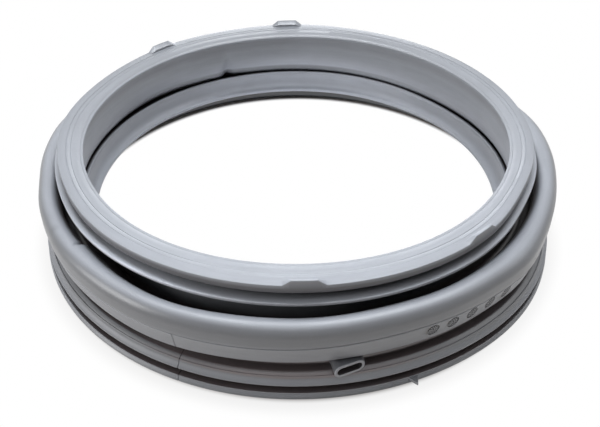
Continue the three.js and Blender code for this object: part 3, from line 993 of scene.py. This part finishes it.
def set_dial_tones(mesh):
    """Painted shade: crisp dark lines in the cut marks on slightly darker round fields, set after the cut.
    """
    corners = np.empty(len(mesh.vertices) * 3)
    mesh.vertices.foreach_get("co", corners)
    corners = corners.reshape(-1, 3) / MM
    tones = np.empty(len(mesh.vertices), dtype=np.float32)
    attribute = mesh.attributes["tone"].data
    attribute.foreach_get("value", tones)
    for azimuth in DIAL_AZIMUTHS:
        inverse = np.array(band_frame(azimuth).inverted())
        local = corners @ inverse[:3, :3].T + inverse[:3, 3]
        across = np.hypot(local[:, 1], local[:, 2])
        near = (across < DIAL_RADIUS + DIAL_MARGIN) & (np.abs(local[:, 0]) < DIAL_REACH)
        field = np.where(across < DIAL_RADIUS - 0.05, DIAL_TONE, 1.0)
        level = np.where(local[:, 0] < -DIAL_SKIN, MARK_TONE, field)
        tones = np.where(near, level, tones).astype(np.float32)
    attribute.foreach_set("value", tones)


def bore_cutter():
    """Flattened plug that opens the spout into the tub."""
    width = SPOUT_ROOT_WIDTH - SPOUT_WALL * 2
    thickness = SPOUT_THICKNESS - SPOUT_WALL * 2
    clearance = 3.0
    ends = (TUB_BORE - clearance, RECESS_ROOT + clearance)
    loops = [stadium_loop(width, thickness, lambda y, x=x: x) for x in ends]
    # The bore's walls are painted shade
    return mesh_of("spout_bore", [(*loft(loops), spout_frame())], BORE_TONE)


def cut(piece, cutters):
    """Takes the cutters' volume away from a piece, and removes the cutters."""
    tools = []
    for mesh in cutters:
        tool = bpy.data.objects.new(mesh.name, mesh)
        bpy.context.scene.collection.objects.link(tool)
        modifier = piece.modifiers.new(mesh.name, "BOOLEAN")
        modifier.operation = "DIFFERENCE"
        modifier.solver = "MANIFOLD"
        modifier.object = tool
        tools.append(tool)
    evaluated = piece.evaluated_get(bpy.context.evaluated_depsgraph_get())
    finished = bpy.data.meshes.new_from_object(evaluated)
    piece.modifiers.clear()
    piece.data = finished
    for tool in tools:
        bpy.data.objects.remove(tool)
    return finished


# Materials

def new_material(name):
    material = bpy.data.materials.new(name)
    material.use_nodes = True
    return material, material.node_tree, material.node_tree.nodes["Principled BSDF"]


def add_node(tree, kind, **settings):
    node = tree.nodes.new(kind)
    for name, value in settings.items():
        setattr(node, name, value)
    return node


def add_math(tree, operation, first, second):
    """Math node on two sockets or numbers."""
    node = add_node(tree, "ShaderNodeMath", operation=operation)
    for socket, value in zip(node.inputs, (first, second)):
        if isinstance(value, (int, float)):
            socket.default_value = value
        else:
            tree.links.new(value, socket)
    return node.outputs[0]


def add_blend(tree, value, low, high):
    """Colour between two (value, colour) pairs."""
    ramp = add_node(tree, "ShaderNodeValToRGB")
    for element, (place, colour) in zip(ramp.color_ramp.elements, (low, high)):
        element.position = place
        element.color = (*colour, 1.0)
    tree.links.new(value, ramp.inputs["Fac"])
    return ramp.outputs["Color"]


def add_noise(tree, coordinate, scale, detail, low, high):
    """Noise that runs between two values."""
    noise = add_node(tree, "ShaderNodeTexNoise")
    noise.inputs["Scale"].default_value = scale
    noise.inputs["Detail"].default_value = detail
    tree.links.new(coordinate, noise.inputs["Vector"])
    spread = add_node(tree, "ShaderNodeMapRange")
    spread.inputs["From Min"].default_value = 0.3
    spread.inputs["From Max"].default_value = 0.7
    spread.inputs["To Min"].default_value = low
    spread.inputs["To Max"].default_value = high
    tree.links.new(noise.outputs["Fac"], spread.inputs["Value"])
    return spread.outputs["Result"]


def ring_coordinate(tree, position):
    """Coordinate along the ring, across it and up, so that marks follow the moulding."""
    parts = add_node(tree, "ShaderNodeSeparateXYZ")
    tree.links.new(position, parts.inputs[0])
    turn = add_math(tree, "ARCTAN2", parts.outputs["Y"], parts.outputs["X"])
    across = add_math(tree, "POWER", parts.outputs["X"], 2.0)
    deep = add_math(tree, "POWER", parts.outputs["Y"], 2.0)
    radius = add_math(tree, "SQRT", add_math(tree, "ADD", across, deep), 0.0)
    along = add_math(tree, "MULTIPLY", turn, STREAK_SHARE * OUTER * MM)
    join = add_node(tree, "ShaderNodeCombineXYZ")
    for socket, value in zip(join.inputs, (along, radius, parts.outputs["Z"])):
        tree.links.new(value, socket)
    return join.outputs[0]


def add_smudges(tree, position):
    """Darkening by a few soft finger marks, 1 where there is none."""
    total = 1.0
    for azimuth, radius, height, size, strength in SMUDGES:
        turn = math.radians(azimuth)
        place = Vector((radius * math.cos(turn), radius * math.sin(turn), height)) * MM
        distance = add_node(tree, "ShaderNodeVectorMath", operation="DISTANCE")
        distance.inputs[1].default_value = place
        tree.links.new(position, distance.inputs[0])
        fade = add_node(tree, "ShaderNodeMapRange", interpolation_type="SMOOTHSTEP")
        fade.inputs["From Min"].default_value = 0.0
        fade.inputs["From Max"].default_value = size * MM
        fade.inputs["To Min"].default_value = 1.0 - strength
        fade.inputs["To Max"].default_value = 1.0
        tree.links.new(distance.outputs["Value"], fade.inputs["Value"])
        total = add_math(tree, "MULTIPLY", fade.outputs["Result"], total)
    return total


def add_seen(tree):
    """1 for rays that show a thing, straight or in a reflection, and 0 for rays that light one."""
    rays = add_node(tree, "ShaderNodeLightPath")
    seen = add_math(tree, "MAXIMUM", rays.outputs["Is Camera Ray"], rays.outputs["Is Glossy Ray"])
    return add_math(tree, "MAXIMUM", seen, rays.outputs["Is Transmission Ray"])


def rubber_material():
    material, tree, shader = new_material("rubber")
    position = add_node(tree, "ShaderNodeNewGeometry").outputs["Position"]
    along_ring = ring_coordinate(tree, position)

    # Painted warm bounce light: the rubber is warmer down in the shaded folds and, at the front, on the
    # low outside
    bare_tone = add_node(tree, "ShaderNodeAttribute", attribute_name="tone").outputs["Fac"]
    low = add_node(tree, "ShaderNodeAttribute", attribute_name="warm_bounce").outputs["Fac"]
    cool = add_math(tree, "SUBTRACT", bare_tone, add_math(tree, "MULTIPLY", low, WARM_BOUNCE_REACH))
    hue = add_blend(tree, cool, *zip(FOLD_TONES, (FOLD_WARM_BOUNCE_COLOUR, RUBBER_COLOUR)))

    clouds = add_noise(tree, position, *CLOUDS)
    streaks = add_noise(tree, along_ring, *STREAKS)
    grain = add_noise(tree, position, *GRAIN)
    # The tone's painted shade and light set how dark the colour is, varied by clouds, streaks, grain and
    # finger marks
    level = bare_tone
    for share in (clouds, streaks, grain, add_smudges(tree, position)):
        level = add_math(tree, "MULTIPLY", level, share)
    tinted = add_node(tree, "ShaderNodeVectorMath", operation="SCALE")
    tree.links.new(hue, tinted.inputs[0])
    tree.links.new(level, tinted.inputs["Scale"])
    tree.links.new(tinted.outputs[0], shader.inputs["Base Color"])

    # Where the painted shade is pale the rubber is matt, and where it is dark the rubber has a sheen
    matt = add_node(tree, "ShaderNodeMapRange")
    for name, value in zip(("From Min", "From Max", "To Min", "To Max"), MATT_TONES + ROUGHNESSES):
        matt.inputs[name].default_value = value
    tree.links.new(bare_tone, matt.inputs["Value"])
    roughness = add_math(tree, "MULTIPLY", matt.outputs["Result"], add_noise(tree, along_ring, *WEAR))
    tree.links.new(roughness, shader.inputs["Roughness"])
    shader.inputs["Specular IOR Level"].default_value = 1.0
    bump = add_node(tree, "ShaderNodeBump")
    bump.inputs["Strength"].default_value = PORE_STRENGTH
    bump.inputs["Distance"].default_value = PORE_DEPTH * MM
    tree.links.new(add_noise(tree, position, *PORES), bump.inputs["Height"])
    tree.links.new(bump.outputs["Normal"], shader.inputs["Normal"])
    return material


def floor_material():
    """White where the camera sees it, with the seal's own shadow near its foot."""
    material, tree, shader = new_material("floor")
    shader.inputs["Roughness"].default_value = 1.0
    shader.inputs["Specular IOR Level"].default_value = 0.0

    position = add_node(tree, "ShaderNodeNewGeometry").outputs["Position"]
    centre = add_node(tree, "ShaderNodeVectorMath", operation="DISTANCE")
    centre.inputs[1].default_value = tuple(value * MM for value in SHADE_CENTRE)
    tree.links.new(position, centre.inputs[0])
    clear = 0.0
    for start, end, share in FLOOR_FADES:
        fade = add_node(tree, "ShaderNodeMapRange", interpolation_type="SMOOTHSTEP")
        fade.inputs["From Min"].default_value = start * MM
        fade.inputs["From Max"].default_value = end * MM
        fade.inputs["To Max"].default_value = share
        tree.links.new(centre.outputs["Value"], fade.inputs["Value"])
        clear = add_math(tree, "ADD", fade.outputs["Result"], clear)

    inside = add_node(tree, "ShaderNodeMapRange")
    inside.inputs["From Min"].default_value = FLOOR_FADES[0][0] * MM
    inside.inputs["From Max"].default_value = FLOOR_FADES[0][1] * MM
    tree.links.new(centre.outputs["Value"], inside.inputs["Value"])
    tint = add_blend(tree, inside.outputs["Result"], (0.0, FLOOR_COLOUR), (1.0, FLOOR_COLOUR_INSIDE))
    tree.links.new(tint, shader.inputs["Base Color"])

    white = add_node(tree, "ShaderNodeEmission")
    bright = add_node(tree, "ShaderNodeMixShader")
    tree.links.new(add_math(tree, "MULTIPLY", add_seen(tree), clear), bright.inputs["Fac"])
    tree.links.new(shader.outputs[0], bright.inputs[1])
    tree.links.new(white.outputs[0], bright.inputs[2])
    tree.links.new(bright.outputs[0], tree.nodes["Material Output"].inputs["Surface"])
    return material


# Scene

def add_object(name, mesh, material):
    piece = bpy.data.objects.new(name, mesh)
    bpy.context.scene.collection.objects.link(piece)
    mesh.materials.append(material)
    return piece


def make_seal(material):
    ring = add_object("seal_rubber", ring_mesh(), material)
    set_dial_tones(cut(ring, [dials_cutter(), bore_cutter()]))
    spout = add_object("seal_spout", spout_mesh(), material)
    pointer = add_object("seal_pointer", pointer_mesh(), material)
    for piece in (ring, spout, pointer):
        piece.data.shade_smooth()
        piece.data.set_sharp_from_angle(angle=SHARP_ANGLE)
        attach(piece, "root")
        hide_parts("door_seal")


def make_floor(material):
    mesh = bpy.data.meshes.new("floor")
    half = FLOOR_HALF
    corners = [(-half, -half, 0), (half, -half, 0), (half, half, 0), (-half, half, 0)]
    mesh.from_pydata(corners, [], [(0, 1, 2, 3)])
    floor = add_object("floor", mesh, material)


def make_camera():
    data = bpy.data.cameras.new("camera")
    data.lens = LENS
    data.sensor_width = SENSOR
    camera = bpy.data.objects.new("camera", data)
    camera.location = CAMERA_PLACE
    camera.rotation_euler = (math.radians(CAMERA_TILT), 0.0, 0.0)
    bpy.context.scene.collection.objects.link(camera)
    bpy.context.scene.camera = camera


def make_lamp(name, elevation, azimuth, distance, size, power, colour):
    """Softbox aimed at the seal from a direction in degrees."""
    data = bpy.data.lights.new(name, "AREA")
    data.shape = "RECTANGLE"
    data.size, data.size_y = size
    data.energy = power
    data.color = colour
    lamp = bpy.data.objects.new(name, data)
    up, turn = math.radians(elevation), math.radians(azimuth)
    direction = Vector((math.cos(up) * math.cos(turn), math.cos(up) * math.sin(turn), math.sin(up)))
    lamp.location = direction * distance
    lamp.rotation_euler = direction.to_track_quat("Z", "Y").to_euler()
    bpy.context.scene.collection.objects.link(lamp)


def make_world():
    """White behind the seal and in its reflections, which gives no light of its own."""
    world = bpy.data.worlds.new("studio")
    bpy.context.scene.world = world
    world.use_nodes = True
    tree = world.node_tree
    background = tree.nodes["Background"]
    tree.links.new(add_seen(tree), background.inputs["Strength"])
    background.inputs["Color"].default_value = (1.0, 1.0, 1.0, 1.0)


make_seal(rubber_material())
make_floor(floor_material())
make_camera()
for lamp in LAMPS:
    make_lamp(*lamp)
make_world()
bpy.context.scene.view_settings.view_transform = "Standard"
